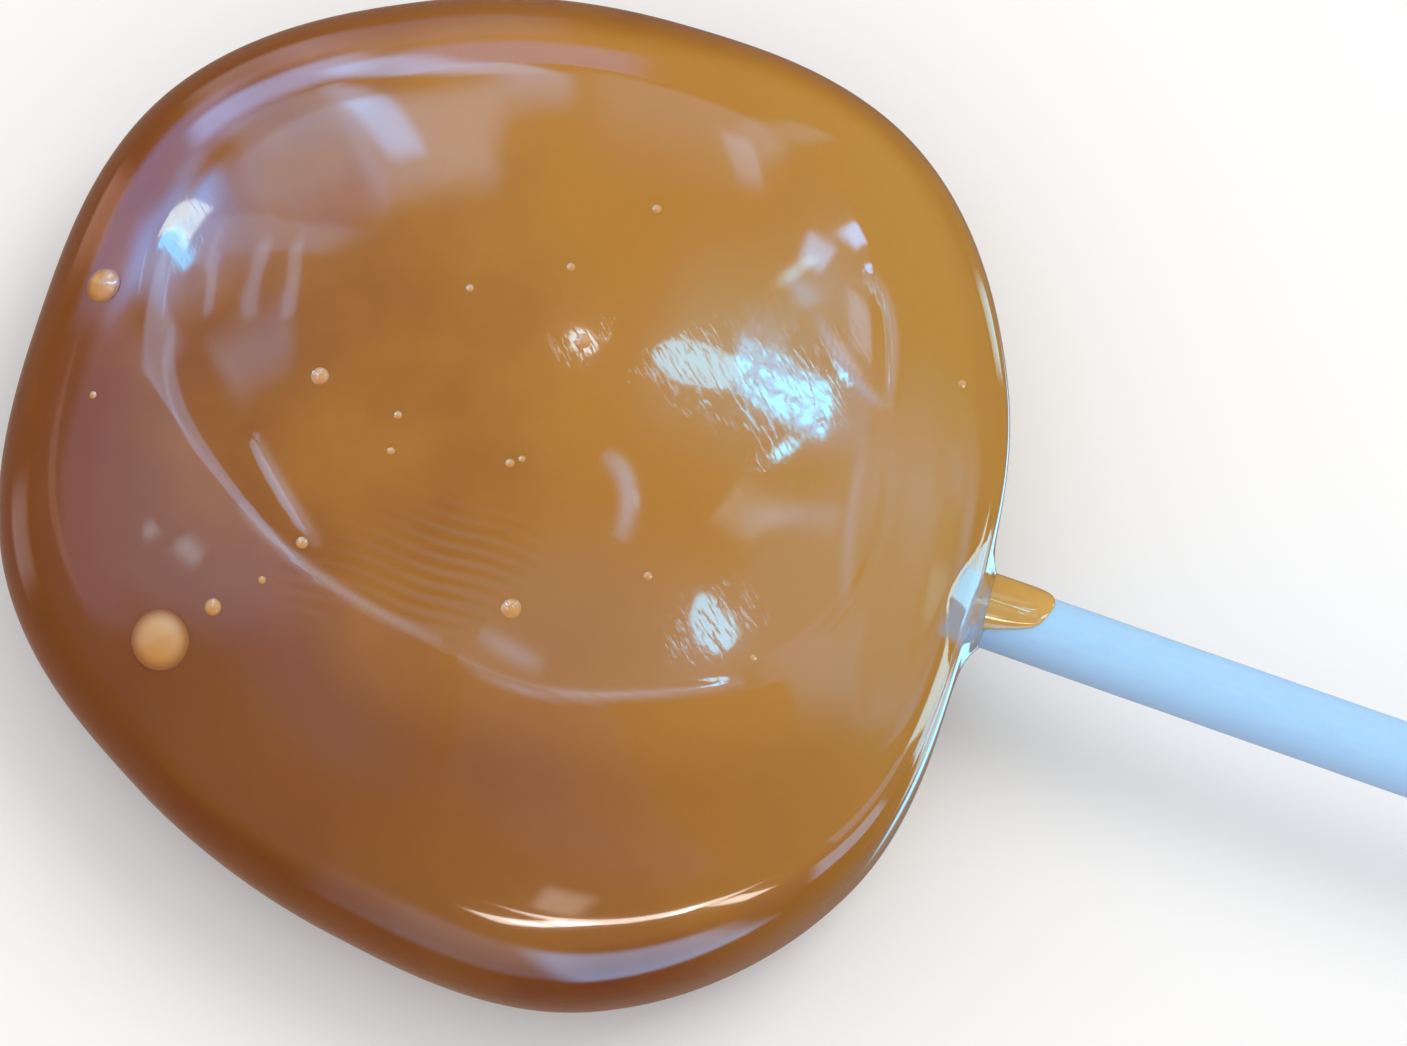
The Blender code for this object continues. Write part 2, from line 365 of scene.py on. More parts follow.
# %% Collar round the stick
COLLAR_REACH, COLLAR_FALL, COLLAR_SPREAD = 0.7, 0.8, radians(25)
COLLAR_START = 10.0  # mm along X, and the skin before it stays
STICK_RADIUS = (stick_high[2] - stick_low[2]) / 2

off_axis = np.hypot(smooth_rings[..., 1], smooth_rings[..., 2] - STICK_HEIGHT)
pull = COLLAR_REACH * np.exp(-np.maximum(off_axis - STICK_RADIUS, 0) / COLLAR_FALL)
pull *= (smooth_rings[..., 0] > COLLAR_START) * arc_share(angles, 0.0, COLLAR_SPREAD)
head_rings = smooth_rings + normals * relief[..., None] + pull[..., None] * np.array((1.0, 0, 0))
points = np.vstack([[(*HEAD_MIDDLE, THICKNESS)], head_rings.reshape(-1, 3), [(*HEAD_MIDDLE, 0.0)]])
head.data.vertices.foreach_set("co", (points * MM).ravel())
head.data.update()
print("collar, mm along the stick:", pull.max().round(2))

# %% [markdown]
# ## Nodes in few words
#
# Geometry and material trees are built in the script. The first helper adds a node, sets its options, and
# fills its inputs with a number or with another node's output. The others are steps that come up again and
# again, which keeps the trees below short enough to read.

# %% Node helpers


def add_node(tree, kind, inputs=None, **options):
    """New node with these options, its inputs set to values or linked to other nodes' outputs."""
    made = tree.nodes.new(kind)
    for name, value in options.items():
        setattr(made, name, value)
    for name, value in (inputs or {}).items():
        socket = made.inputs[name]
        if isinstance(value, bpy.types.NodeSocket):
            tree.links.new(value, socket)
        else:
            socket.default_value = value
    return made


def maths(tree, operation, first, second=0.0):
    """One step of arithmetic in a tree."""
    return add_node(tree, "ShaderNodeMath", {0: first, 1: second}, operation=operation).outputs[0]


def scaled(tree, vector, share):
    """A vector or a colour times a number."""
    return add_node(tree, "ShaderNodeVectorMath", {0: vector, "Scale": share}, operation="SCALE").outputs[0]


def noise(tree, place, scale, detail=2.0):
    """Soft noise between 0 and 1, about a half on average."""
    inputs = {"Vector": place, "Scale": scale, "Detail": detail}
    return add_node(tree, "ShaderNodeTexNoise", inputs).outputs["Fac"]


def turned(tree, place, turn):
    """A place turned about Z."""
    inputs = {"Vector": place, "Rotation": (0, 0, turn)}
    return add_node(tree, "ShaderNodeMapping", inputs).outputs["Vector"]


def kept_value(tree, name, kind="FLOAT"):
    """What the points of a mesh keep under a name, for Geometry Nodes."""
    inputs = {"Name": name}
    return add_node(tree, "GeometryNodeInputNamedAttribute", inputs, data_type=kind).outputs["Attribute"]


def geometry_step(tree, kind, geometry, **inputs):
    """One step of Geometry Nodes, from a geometry to a geometry."""
    return add_node(tree, "GeometryNode" + kind, {"Geometry": geometry, **inputs}).outputs[0]


def geometry_tree(name, numbers):
    """New Geometry Nodes tree with a geometry input and output, and a named input for each number."""
    tree = bpy.data.node_groups.new(name, "GeometryNodeTree")
    tree.interface.new_socket("Geometry", in_out="INPUT", socket_type="NodeSocketGeometry")
    for label, value in numbers.items():
        kind = "NodeSocketInt" if isinstance(value, int) else "NodeSocketFloat"
        tree.interface.new_socket(label, in_out="INPUT", socket_type=kind).default_value = value
    tree.interface.new_socket("Geometry", in_out="OUTPUT", socket_type="NodeSocketGeometry")
    return tree, tree.nodes.new("NodeGroupInput"), tree.nodes.new("NodeGroupOutput")


def run_tree(thing, tree, numbers):
    """Runs a tree on an object with these inputs, and keeps the result as the object's plain mesh."""
    modifier = thing.modifiers.new(tree.name, "NODES")
    modifier.node_group = tree
    for socket in tree.interface.items_tree:
        if socket.in_out == "INPUT" and socket.name in numbers:
            modifier[socket.identifier] = numbers[socket.name]
    ready = thing.evaluated_get(bpy.context.evaluated_depsgraph_get())
    mesh = bpy.data.meshes.new_from_object(ready)
    thing.modifiers.remove(modifier)
    mesh.name = thing.name
    thing.data = mesh
    return mesh


def store(thing, name, values):
    """A number for each point of a mesh, kept under a name that nodes can read."""
    kept = thing.data.attributes.new(name, "FLOAT", "POINT")
    kept.data.foreach_set("value", np.asarray(values, dtype=np.float32))


# %% [markdown]
# ## Caramel
#
# Light goes a little way into caramel and comes back warmer, so the shader scatters under its surface, with
# red going furthest. The lump isn't one colour. It is painted darker and redder on the far side, and golden
# and honey towards the stick, where the key light comes from: partly uneven caramel, partly painted shade
# and light. Painted shade also darkens it along the rim, down the lower shoulder and underneath, and a few
# spots
# are darker. Slow noise mixes these tints. Where they follow the form, the mesh keeps a number for each
# point:
# how much painted shade or dark spot it has, how much pale tint lies along a crease or seam as painted
# reflection, and how much it is a thin film over the paper, whose grey is partly a painted reflection.
# A hard clear coat gives the wet shine, over a softer gloss that makes the haze round each highlight.
# The hair-fine scratches are finer than the mesh, so they are bump, in the coat alone, where it was rubbed.

# %% Tints of the caramel
# The first three are lit and shaded copies of the caramel: gold and honey are painted light on the stick's
# side, toffee is painted shade on the far side.
LIT_GOLD = (0.43, 0.200, 0.028, 1.0)
SHADED_TOFFEE = (0.228, 0.074, 0.016, 1.0)
LIT_HONEY = (0.43, 0.232, 0.040, 1.0)
# Dark brown for painted shade along the rim, down the lower shoulder and underneath, and for a few darker
# spots.
SHADE_AND_SPOT_BROWN = (0.160, 0.037, 0.005, 1.0)
# Pale lavender for painted reflection along creases and seams.
PALE_SHEEN = (0.44, 0.37, 0.37, 1.0)
# Grey of the collar's thin film of caramel over the paper, partly a painted reflection of the stick.
FILM_AND_SHEEN_GREY = (0.29, 0.30, 0.34, 1.0)
FILM_MIDDLE, FILM_HALF, FILM_START = -1.2, 2.1, 22.8  # mm: middle and half width along Y, start along X
FILM_FADE_ACROSS, FILM_FADE_ALONG = 0.6, 0.5
SCATTER_DEPTH = 1.6 * MM
SCATTER_TINT = (1.0, 0.38, 0.12)
# Painted shade near the rim: where it starts and fades, wider at two arcs, and less on the stick's lit side.
SHADE_START, SHADE_WIDTH = 0.5, 2.2  # mm in from the rim
SHADE_WIDER = 0.7
SHADE_WIDE_ARCS = ((radians(125), radians(45)), (radians(-70), radians(35)))
LIT_SIDE_SHARE, LIT_SIDE_MIDDLE, LIT_SIDE_SPREAD = 0.75, radians(15), radians(50)
FLAT_TOP = 4  # the power that makes an arc's share flat along its middle
# Pixel of the photo: reach in mm, strength.
RUBBED = {(745, 385): (5.5, 0.4), (190, 228): (3.0, 0.2), (714, 627): (2.4, 0.7), (585, 340): (1.5, 0.6)}
# Darker spots on the face, in the same columns.
DARKER_SPOTS = {(500, 650): (7.0, 0.22), (610, 640): (6.0, 0.16)}
# Painted shade down the lower shoulder, from the crease outward.
FLANK_SHADE_SHARE, FLANK_SHADE_WIDTH, FLANK_SHADE_MIDDLE, FLANK_SHADE_SPREAD = 0.55, 5.0, radians(250), radians(90)


def smooth(value):
    """0 below 0 and 1 above 1, with no corner between."""
    value = np.clip(value, 0, 1)
    return value * value * (3 - 2 * value)


def spots(table):
    """Soft round spots on the skin, from a table of pixel: reach in mm, strength."""
    return sum(
        strength * bump(np.linalg.norm(smooth_rings - mark(pixel), axis=-1), reach)
        for pixel, (reach, strength) in table.items()
    )


# Painted shade: full underneath, darker near the rim and down the lower shoulder, lighter on the stick's
# side, with darker spots added.
wider = sum(arc_share(angles, *arc, FLAT_TOP) for arc in SHADE_WIDE_ARCS)
shade_and_spots = np.where(upper, 1 - smooth((inset - SHADE_START) / (SHADE_WIDTH * (1 + SHADE_WIDER * wider))), 1.0)
shade_and_spots *= 1 - LIT_SIDE_SHARE * arc_share(angles, LIT_SIDE_MIDDLE, LIT_SIDE_SPREAD, FLAT_TOP)
flank = smooth(from_crease / FLANK_SHADE_WIDTH) * arc_share(angles, FLANK_SHADE_MIDDLE, FLANK_SHADE_SPREAD, FLAT_TOP)
shade_and_spots = np.maximum(shade_and_spots, FLANK_SHADE_SHARE * flank) + spots(DARKER_SPOTS)
store(head, "shade_and_spots", np.concatenate([[0.0], shade_and_spots.ravel(), [1.0]]))
# The collar's thin film over the paper, whose grey is partly painted reflection.
film_and_sheen = smooth((FILM_HALF - np.abs(head_rings[..., 1] - FILM_MIDDLE)) / FILM_FADE_ACROSS)
film_and_sheen *= smooth((head_rings[..., 0] - FILM_START) / FILM_FADE_ALONG)
for name, values in (("film_and_sheen", film_and_sheen), ("pale", pale), ("rubbed", spots(RUBBED))):
    store(head, name, np.concatenate([[0.0], values.ravel(), [0.0]]))
print("burnt:", shade_and_spots.min().round(2), "to", shade_and_spots.max().round(2), "pale: up to", pale.max().round(2))


# %% Material helpers
def new_material(name):
    """New material, with its tree and its shader."""
    material = bpy.data.materials.new(name)
    material.use_nodes = True
    shader = material.node_tree.nodes["Principled BSDF"]
    return material, material.node_tree, shader


def set_inputs(shader, **values):
    """Constants on the shader's own sockets, named with underscores for spaces."""
    for name, value in values.items():
        shader.inputs[name.replace("_", " ")].default_value = value


def mm_coordinates(tree, turn=0.0, stretch=(1.0, 1.0, 1.0)):
    """Object coordinates in mm, turned about Z and stretched."""
    place = turned(tree, add_node(tree, "ShaderNodeTexCoord").outputs["Object"], turn)
    scale = [1 / MM * part for part in stretch]
    return add_node(tree, "ShaderNodeMapping", {"Vector": place, "Scale": scale}).outputs["Vector"]


def mix_tints(tree, share, first, second):
    """A colour between two others, each a colour or a node's output."""
    mixed = add_node(tree, "ShaderNodeMix", {"Factor": share}, data_type="RGBA")
    for place, tint in ((6, first), (7, second)):
        if isinstance(tint, bpy.types.NodeSocket):
            tree.links.new(tint, mixed.inputs[place])
        else:
            mixed.inputs[place].default_value = tint
    return mixed.outputs[2]


def ramp(tree, value, low, high):
    """0 below low and 1 above high."""
    inputs = {"Value": value, "From Min": low, "From Max": high}
    return add_node(tree, "ShaderNodeMapRange", inputs, interpolation_type="SMOOTHSTEP").outputs["Result"]


def attribute(tree, name):
    """A number that the mesh keeps for each point, for a material."""
    return add_node(tree, "ShaderNodeAttribute", attribute_name=name).outputs["Fac"]


# %% Caramel material
CLOUD_SCALE, CLOUD_SHARE = 0.11, 0.8
# Across the head, painted shade on the far side turns to painted light towards the stick.
LIT_GOLD_ACROSS, LIT_GOLD_RANGE = (-24.0, 24.0), (0.30, 1.04)  # mm; sums that make it all toffee or all gold
LIT_HONEY_ACROSS = (6.0, 24.0)
SHADE_NOISE_LEAST = 0.35
SCRATCH_TURN, SCRATCH_STRETCH = radians(-50), (7.0, 1.1, 1.0)
SCRATCH_RANGE, SCRATCH_STRENGTH, SCRATCH_DEPTH = (0.52, 0.72), 0.7, 0.004 * MM


def caramel_tint(tree):
    """Painted light and shade across the head, then painted shade, darker spots, painted pale reflection and
    the grey film.
    """
    place = mm_coordinates(tree, turn=-VIEW_ROLL)
    # Painted shade on the far side and painted light towards the stick, broken by noise clouds.
    across = add_node(tree, "ShaderNodeSeparateXYZ", {"Vector": place}).outputs["X"]
    clouds = noise(tree, place, CLOUD_SCALE, detail=4.0)
    patchy = maths(tree, "MULTIPLY", clouds, CLOUD_SHARE)
    lit_share = maths(tree, "ADD", ramp(tree, across, *LIT_GOLD_ACROSS), patchy)
    tint = mix_tints(tree, ramp(tree, lit_share, *LIT_GOLD_RANGE), SHADED_TOFFEE, LIT_GOLD)
    tint = mix_tints(tree, ramp(tree, across, *LIT_HONEY_ACROSS), tint, LIT_HONEY)
    # Painted shade and darker spots, broken by noise.
    edge = maths(tree, "MULTIPLY", attribute(tree, "shade_and_spots"), maths(tree, "ADD", clouds, SHADE_NOISE_LEAST))
    tint = mix_tints(tree, edge, tint, SHADE_AND_SPOT_BROWN)
    # Painted pale reflection along creases and seams.
    tint = mix_tints(tree, attribute(tree, "pale"), tint, PALE_SHEEN)
    # The collar: a thin film over the paper, its grey partly painted reflection.
    return mix_tints(tree, attribute(tree, "film_and_sheen"), tint, FILM_AND_SHEEN_GREY)


def scratches(tree):
    """Normal of the coat, with short fine scratches that all lie one way."""
    fine = mm_coordinates(tree, turn=SCRATCH_TURN, stretch=SCRATCH_STRETCH)
    grain = ramp(tree, noise(tree, fine, 1.0), *SCRATCH_RANGE)
    grain = maths(tree, "MULTIPLY", grain, attribute(tree, "rubbed"))
    bumps = {"Height": grain, "Strength": SCRATCH_STRENGTH, "Distance": SCRATCH_DEPTH}
    return add_node(tree, "ShaderNodeBump", bumps).outputs["Normal"]


def caramel_finish(tree, shader):
    """A soft gloss under a hard, clear and lightly scratched coat."""
    tree.links.new(scratches(tree), shader.inputs["Coat Normal"])
    set_inputs(shader, Roughness=0.14, Specular_IOR_Level=0.12)
    set_inputs(shader, Coat_Weight=1.0, Coat_Roughness=0.03, Coat_IOR=1.5)


def caramel_material():
    """The head's own caramel, with light scattered under its skin."""
    material, tree, shader = new_material("caramel")
    tree.links.new(caramel_tint(tree), shader.inputs["Base Color"])
    caramel_finish(tree, shader)
    set_inputs(shader, Subsurface_Weight=0.45, Subsurface_Scale=SCATTER_DEPTH)
    set_inputs(shader, Subsurface_Radius=SCATTER_TINT)
    return material


caramel = caramel_material()
head.data.materials.append(caramel)

# %% [markdown]
# ## The skin's slow waves
#
# A poured skin is never quite even, and a gloss shows waves that the eye would miss on chalk. Blender's
# Noise Texture gives such waves inside Geometry Nodes, where their height and length are two inputs.

# %% Waves tree
WAVES = {
    "Wave height": 0.07 * MM,
    "Waves per metre": 95.0,
    "Ripple height": 0.004 * MM,
    "Ripples per metre": 420.0,
}
LOOSE_HEIGHT, LOOSE_RISE = 1.0, 3.0  # mm above the floor where waves begin, and how far they take to grow
LOOSE_GAP, LOOSE_GROWTH = 2.0, 2.0  # the same, away from the stick's axis


def wave_tree():
    """Pushes each point of the skin along its normal, by waves and ripples."""
    tree, given, result = geometry_tree("skin_waves", WAVES)
    place = add_node(tree, "GeometryNodeInputPosition").outputs[0]
    normal = add_node(tree, "GeometryNodeInputNormal").outputs[0]
    heights = []
    for height, rate in (("Wave height", "Waves per metre"), ("Ripple height", "Ripples per metre")):
        waves = noise(tree, place, given.outputs[rate], detail=1.0)
        heights.append(maths(tree, "MULTIPLY", maths(tree, "SUBTRACT", waves, 0.5), given.outputs[height]))
    total = maths(tree, "MULTIPLY", maths(tree, "ADD", *heights), kept_value(tree, "looseness"))
    moved = geometry_step(tree, "SetPosition", given.outputs[0], Offset=scaled(tree, normal, total))
    moved = geometry_step(tree, "RealizeInstances", moved)
    moved = geometry_step(tree, "SetMaterial", moved, Material=caramel)
    tree.links.new(moved, result.inputs[0])
    return tree


looseness = np.clip((head_rings[..., 2] - LOOSE_HEIGHT) / LOOSE_RISE, 0, 1)
looseness *= np.clip((off_axis - LOOSE_GAP) / LOOSE_GROWTH, 0, 1)
store(head, "looseness", np.concatenate([[1.0], looseness.ravel(), [0.0]]))
skin = run_tree(head, wave_tree(), WAVES)
print("skin:", len(skin.polygons), "faces")

# %% [markdown]
# ## The paper stick
#
# Lollipop sticks are a long strip of paper rolled tight. From a step away that is a plain cylinder. Close
# up, the outer edge of the strip leaves a faint step along it, and the end shows the roll as a spiral.

# %% Stick
STICK_SIDES = 96
HIDDEN_END_RINGS, LONG_RINGS, EDGE_RINGS, END_RINGS = (0.5, 1.0), 60, 5, 40
SEAM_STEP, SEAM_PITCH = 0.05, 90.0
ROLL_TURNS, ROLL_DEPTH, ROLL_POWER = 7, 0.06, 4
EDGE_ROUND = 0.12
turns = np.arange(STICK_SIDES) / STICK_SIDES * tau


def round_stick(x, radius, turn):
    """Points round the stick's axis; angle 0 is on top and a quarter turn is towards +Y."""
    x, radius, turn = np.broadcast_arrays(x, radius, turn)
    return np.stack([x, radius * np.sin(turn), STICK_HEIGHT + radius * np.cos(turn)], -1)


def stick_ring(x, radius, sink=0.0):
    """One ring of the stick: its radius drops a little across the seam, which creeps round the stick."""
    seam = (turns / tau - x / SEAM_PITCH) % 1.0
    return round_stick(x - sink, radius - SEAM_STEP * seam * (radius / STICK_RADIUS), turns)


def stick_rings():
    """Rings from the end in the head, along the stick, round its far edge and over its end."""
    start, end = stick_low[0], stick_high[0]
    rings = [stick_ring(start, STICK_RADIUS * part) for part in HIDDEN_END_RINGS]
    rings += [stick_ring(x, STICK_RADIUS) for x in np.linspace(start, end - EDGE_ROUND, LONG_RINGS)[1:]]
    for part in np.linspace(0, pi / 2, EDGE_RINGS)[1:]:
        behind, inward = EDGE_ROUND * (1 - sin(part)), EDGE_ROUND * (1 - cos(part))
        rings.append(stick_ring(end - behind, STICK_RADIUS - inward))
    for part in np.linspace(1, 0, END_RINGS)[1:-1]:
        spiral = 0.5 + 0.5 * np.cos(tau * ROLL_TURNS * part + turns)
        rings.append(stick_ring(end, (STICK_RADIUS - EDGE_ROUND) * part, ROLL_DEPTH * spiral**ROLL_POWER))
    return np.array(rings), start, end


rings, start, end = stick_rings()
stick = loft("paper_stick", rings, (start, 0, STICK_HEIGHT), (end, 0, STICK_HEIGHT))


# %% Paper material
PAPER_TINTS = (0.32, 0.57, 0.84, 1.0), (0.38, 0.63, 0.90, 1.0)
# Painted shade for the side of the stick turned from the key light, and where it starts.
PAPER_SHADE, PAPER_SHADE_FROM = (0.35, 0.53, 0.78, 1.0), -0.2
FIBRE_STRETCH, FIBRE_SCALE, FIBRE_STRENGTH, FIBRE_DEPTH = (0.35, 1.0, 1.0), 3.0, 0.3, 0.03 * MM


def paper_material():
    """Rolled paper with fibres along it, and painted shade down one side."""
    material, tree, shader = new_material("stick_paper")
    fibres = noise(tree, mm_coordinates(tree, stretch=FIBRE_STRETCH), FIBRE_SCALE, detail=4.0)
    tint = mix_tints(tree, fibres, *PAPER_TINTS)
    tint = mix_tints(tree, attribute(tree, "shade"), tint, PAPER_SHADE)
    tree.links.new(tint, shader.inputs["Base Color"])
    bumps = {"Height": fibres, "Strength": FIBRE_STRENGTH, "Distance": FIBRE_DEPTH}
    tree.links.new(add_node(tree, "ShaderNodeBump", bumps).outputs["Normal"], shader.inputs["Normal"])
    set_inputs(shader, Roughness=0.45, Subsurface_Weight=0.15, Subsurface_Scale=0.8 * MM)
    return material


around = np.array([vertex.co.y for vertex in stick.data.vertices]) / (STICK_RADIUS * MM)
# Painted shade down the stick's side turned from the key light.
store(stick, "shade", smooth(PAPER_SHADE_FROM - around))
stick.data.materials.append(paper_material())

# %% [markdown]
# ## The run of caramel
#
# When the stick was lifted, a little caramel ran on to it and set: cut off straight at the head, rounded
# at its tip, with one edge lying nearly along the stick. Two short formulas give the angles round the stick
# at which it starts and ends, for each place along it, and every ring goes out over the top and back below.

# %% Run
RUN_START, RUN_LENGTH, RUN_THICKNESS, RUN_SINK = 24.4, 3.35, 0.26, 0.08
RUN_BLUNT = 0.05
RUN_LOW_EDGE, RUN_HIGH_EDGE = radians(-48), radians(85)
RUN_LOW_CREEP, RUN_TIP_TURN = radians(42), radians(45)
RUN_TIP_POWERS = (14, 10)  # the higher, the blunter the low and the high corner of its tip
RUN_TIP_FALL, RUN_CROWN = 6, 0.6
RUN_RINGS, RUN_SIDES, RUN_CROWDING = 48, 72, 1.5  # rings crowd towards the tip


def run_edges(part):
    """Angles from the top of the stick towards +Y, at a share of the run's length."""
    low_turn, high_turn = (RUN_TIP_TURN * part**power for power in RUN_TIP_POWERS)
    return RUN_LOW_EDGE + RUN_LOW_CREEP * part + low_turn, RUN_HIGH_EDGE - high_turn


def run_rings():
    """Rings along the run, each going out over its top and back inside the paper."""
    rings = []
    sweep = np.arange(RUN_SIDES) / RUN_SIDES * tau
    for part in 1 - (1 - np.linspace(0, 1, RUN_RINGS + 2)[1:-1]) ** RUN_CROWDING:
        low, high = run_edges(part)
        turn = (low + high) / 2 + (high - low) / 2 * np.cos(sweep)
        rise = min(1.0, part / RUN_BLUNT) ** 0.5 * (1 - part**RUN_TIP_FALL) ** 0.5
        lift = RUN_THICKNESS * rise * np.abs(np.sin(sweep)) ** RUN_CROWN
        radius = STICK_RADIUS + np.where(np.sin(sweep) > 0, lift, -RUN_SINK)
        rings.append(round_stick(RUN_START + RUN_LENGTH * part, radius, turn))
    return np.array(rings)


# %% Material and mesh of the run
RUN_TINTS, RUN_CLOUDS = ((0.50, 0.28, 0.06, 1.0), (0.62, 0.38, 0.10, 1.0)), 0.7


def run_material():
    """Thin caramel, paler than the head because the paper shines through."""
    material, tree, shader = new_material("caramel_run")
    tint = mix_tints(tree, noise(tree, mm_coordinates(tree), RUN_CLOUDS), *RUN_TINTS)
    tree.links.new(tint, shader.inputs["Base Color"])
    caramel_finish(tree, shader)
    return material


rings = run_rings()
run = loft("caramel_run", rings, rings[0].mean(axis=0), rings[-1].mean(axis=0))
run.data.materials.append(run_material())

# %% [markdown]
# ## Blisters and bubbles
#
# Air trapped in hot caramel rises to the skin. The largest pockets lift it, and small ones show as pale
# dots just under it. Each is a low dome set on the skin where the photo shows it, found by a ray from the
# eye. Geometry Nodes puts a dome on every point, so a new bubble is one more line in the table.

# %% Bubbles found by ray
FLATTENED = {(160, 640): 0.45}  # pixel in the photo: share of a bubble's usual height
BUBBLES = {  # pixel in the photo: diameter in mm
    (160, 640): 2.9,
    (103, 285): 1.9,
    (213, 607): 0.95,
    (320, 376): 1.0,
    (511, 609): 1.1,
    (583, 341): 0.9,
    (302, 543): 0.7,
    (657, 209): 0.55,
    (571, 267): 0.5,
    (391, 451): 0.45,
    (398, 415): 0.45,
    (510, 463): 0.5,
    (522, 459): 0.4,
    (648, 576): 0.5,
    (753, 658): 0.4,
    (962, 384): 0.5,
    (93, 395): 0.45,
    (262, 580): 0.45,
    (470, 288): 0.45,
}
skin_tree = ray_tree(head)


def bubble_points():
    """A point on the skin for each bubble, which keeps its size, its bulge and the way it faces."""
    mesh = bpy.data.meshes.new("bubbles")
    found = [seen_at(skin_tree, pixel) for pixel in BUBBLES]
    mesh.from_pydata([point[:] for point, _ in found], [], [])
    thing = bpy.data.objects.new("bubbles", mesh)
    bpy.context.scene.collection.objects.link(thing)
    store(thing, "size", [diameter * MM for diameter in BUBBLES.values()])
    store(thing, "bulge", [FLATTENED.get(pixel, 1.0) for pixel in BUBBLES])
    facing = mesh.attributes.new("facing", "FLOAT_VECTOR", "POINT")
    facing.data.foreach_set("vector", [part for _, normal in found for part in normal])
    return thing


bubbles = bubble_points()
print("bubbles placed:", len(bubbles.data.vertices))

# %% [markdown]
# A ball with its top pressed into a bell and its underside pressed nearly flat makes the dome: the bell's
# foot runs out level, so no edge shows where it meets the skin. How near a point is to the bell's crown is
# stored as "crown", and the material turns from caramel at the foot to pale honey there. Over the crown it
# is painted lighter on one side as painted light, and orange on the other as a painted caustic.

# %% Bubble material and tree
# How finely a bubble's ball is divided, and its heights as shares of its radius.
BUBBLE_NUMBERS = {"Smoothness": 4, "Height": 0.17, "Sink": 0.10, "Depth": 0.012}
# Painted light on a bubble's bright side, and a painted orange caustic on the other.
LIT_PALE, CAUSTIC_ORANGE = (0.56, 0.36, 0.16, 1.0), (0.50, 0.21, 0.04, 1.0)
CROWN_REACH = 0.75  # how near the crown the painted light and caustic are full


def bubble_material():
    """Caramel at the foot of a bubble, and over its pocket of air painted light on one side and a painted
    caustic on the other.
    """
    material, tree, shader = new_material("bubble")
    glow = mix_tints(tree, attribute(tree, "bright_side"), CAUSTIC_ORANGE, LIT_PALE)
    crown = ramp(tree, attribute(tree, "crown"), 0.0, CROWN_REACH)
    tint = mix_tints(tree, crown, caramel_tint(tree), glow)
    tree.links.new(tint, shader.inputs["Base Color"])
    caramel_finish(tree, shader)
    return material


def bell(tree, given):
    """A ball of radius 1 pressed into a bell, with its crown and its bright side stored, the side for
    painted light.
    """
    inputs = {"Radius": 1.0, "Subdivisions": given.outputs["Smoothness"]}
    shape = add_node(tree, "GeometryNodeMeshIcoSphere", inputs).outputs[0]
    place = add_node(tree, "GeometryNodeInputPosition").outputs[0]
    split = add_node(tree, "ShaderNodeSeparateXYZ", {"Vector": place}).outputs
    square = maths(tree, "MULTIPLY", split["Z"], split["Z"])
    top = maths(tree, "MULTIPLY", maths(tree, "MULTIPLY", square, square), given.outputs["Height"])
    under = maths(tree, "MULTIPLY", square, given.outputs["Sink"])
    is_top = maths(tree, "GREATER_THAN", split["Z"], 0.0)
    below = maths(tree, "MULTIPLY", under, maths(tree, "SUBTRACT", 1.0, is_top))
    height = maths(tree, "SUBTRACT", maths(tree, "MULTIPLY", top, is_top), below)
    height = maths(tree, "SUBTRACT", height, given.outputs["Depth"])
    inputs = {"X": split["X"], "Y": split["Y"], "Z": height}
    pressed = add_node(tree, "ShaderNodeCombineXYZ", inputs).outputs[0]
    # 1 on the bright side and 0 on the other, for painted light and a painted caustic.
    side = maths(tree, "ADD", maths(tree, "MULTIPLY", split["Y"], 0.5), 0.5)
    for name, value in (("crown", maths(tree, "MULTIPLY", square, is_top)), ("bright_side", side)):
        shape = geometry_step(tree, "StoreNamedAttribute", shape, Name=name, Value=value)
    return geometry_step(tree, "SetPosition", shape, Position=pressed)


def bubble_tree(numbers):
    """A bell on every point, turned to face out of the skin."""
    tree, given, result = geometry_tree("bubbles_on_skin", numbers)
    facing = kept_value(tree, "facing", kind="FLOAT_VECTOR")
    turn = add_node(tree, "FunctionNodeAlignRotationToVector", {"Vector": facing}, axis="Z").outputs[0]
    radius = maths(tree, "MULTIPLY", kept_value(tree, "size"), 0.5)
    height = maths(tree, "MULTIPLY", radius, kept_value(tree, "bulge"))
    scale = add_node(tree, "ShaderNodeCombineXYZ", {"X": radius, "Y": radius, "Z": height}).outputs[0]
    inputs = {"Points": given.outputs[0], "Instance": bell(tree, given), "Rotation": turn, "Scale": scale}
    placed = add_node(tree, "GeometryNodeInstanceOnPoints", inputs).outputs[0]
    placed = geometry_step(tree, "RealizeInstances", placed)
    placed = geometry_step(tree, "SetShadeSmooth", placed)
    placed = geometry_step(tree, "SetMaterial", placed, Material=bubble_material())
    tree.links.new(placed, result.inputs[0])
    return tree


made = run_tree(bubbles, bubble_tree(BUBBLE_NUMBERS), BUBBLE_NUMBERS)
print("bubbles:", len(made.polygons), "faces")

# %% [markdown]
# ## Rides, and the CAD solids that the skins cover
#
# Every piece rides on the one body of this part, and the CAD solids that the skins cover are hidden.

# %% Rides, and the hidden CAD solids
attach(head, "root")
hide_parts("caramel_head")
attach(bubbles, "root")
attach(stick, "root")
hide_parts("stick")
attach(run, "root")
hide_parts("stick_drip")

